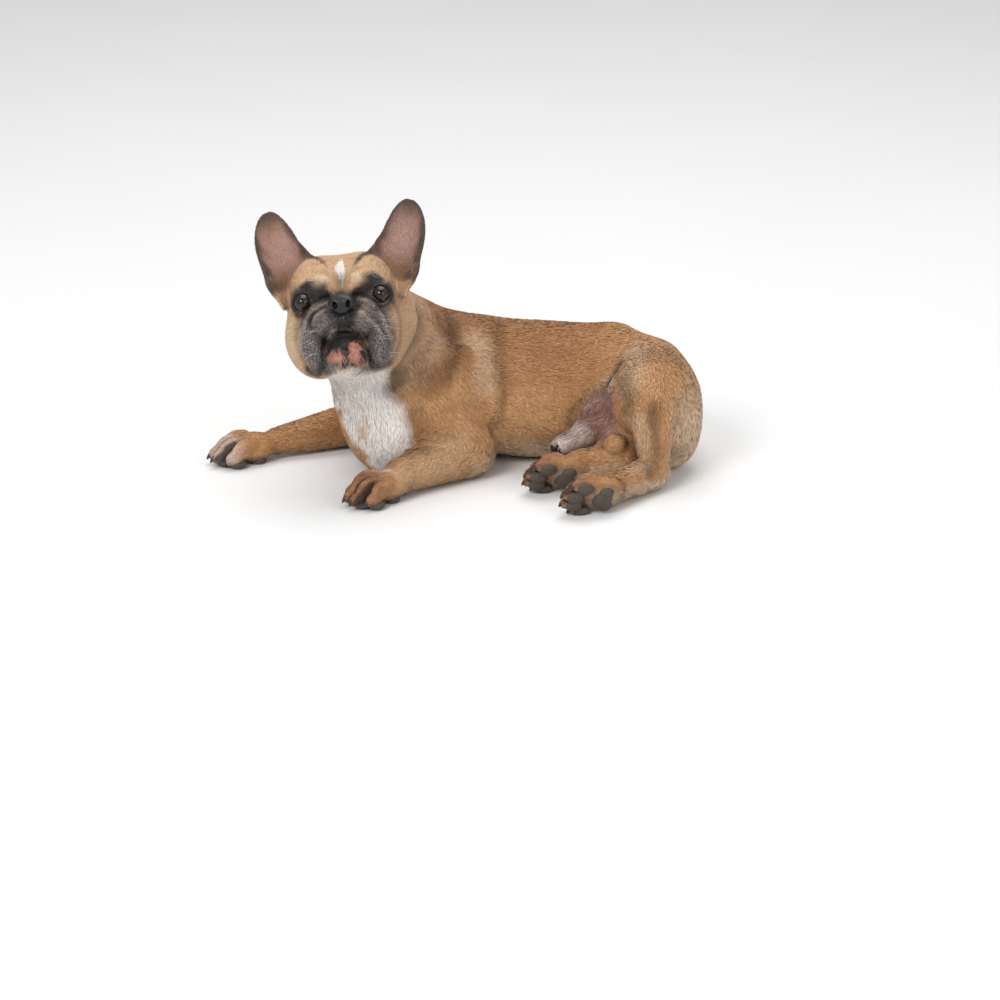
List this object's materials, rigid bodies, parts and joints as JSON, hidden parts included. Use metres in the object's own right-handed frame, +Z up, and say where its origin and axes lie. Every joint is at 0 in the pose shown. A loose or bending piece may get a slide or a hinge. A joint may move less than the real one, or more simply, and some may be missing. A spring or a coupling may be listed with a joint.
{
  "type": "french bulldog",
  "caption": "Life-size still model of a fawn French bulldog with a black mask, lying on its breast with its head turned to the viewer.",
  "frame": {"origin": "centre of the footprint of the whole animal, on the surface that it lies on", "axes": "+X from the head end towards the rump, -Y the side that the chest and face are turned to, +Z up"},
  "size_m": [0.6136, 0.3417, 0.3411],
  "materials": {
    "coat": "short smooth fawn hair with a dark mask, a white breast and cream edges",
    "ear_skin": "thin skin with sparse dark hair outside and bare mauve skin inside",
    "nose_skin": "black pebbled moist skin",
    "eye": "wet dark brown eye",
    "claw": "dark horn with worn tips"
  },
  "bodies": {
    "root": {"abdomen": "coat", "chest": "coat", "claw_forepaw_left_1": "claw", "claw_forepaw_left_2": "claw", "claw_forepaw_left_3": "claw", "claw_forepaw_left_4": "claw", "claw_forepaw_right_1": "claw", "claw_forepaw_right_2": "claw", "claw_forepaw_right_3": "claw", "claw_forepaw_right_4": "claw", "claw_hind_left_1": "claw", "claw_hind_left_2": "claw", "claw_hind_left_3": "claw", "claw_hind_left_4": "claw", "claw_hind_right_1": "claw", "claw_hind_right_2": "claw", "claw_hind_right_3": "claw", "claw_hind_right_4": "claw", "ear_left": "ear_skin", "ear_right": "ear_skin", "eye_left": "eye", "eye_right": "eye", "forearm_left": "coat", "forearm_right": "coat", "forepaw_left": "coat", "forepaw_right": "coat", "head": "coat", "hind_foot_left": "coat", "hind_foot_right": "coat", "hindquarters": "coat", "lower_jaw": "coat", "neck": "coat", "nose": "nose_skin", "shank_left": "coat", "shank_right": "coat", "tail": "coat", "thigh_left": "coat", "thigh_right": "coat", "upper_arm_left": "coat", "upper_arm_right": "coat"}
  },
  "joints": []
}
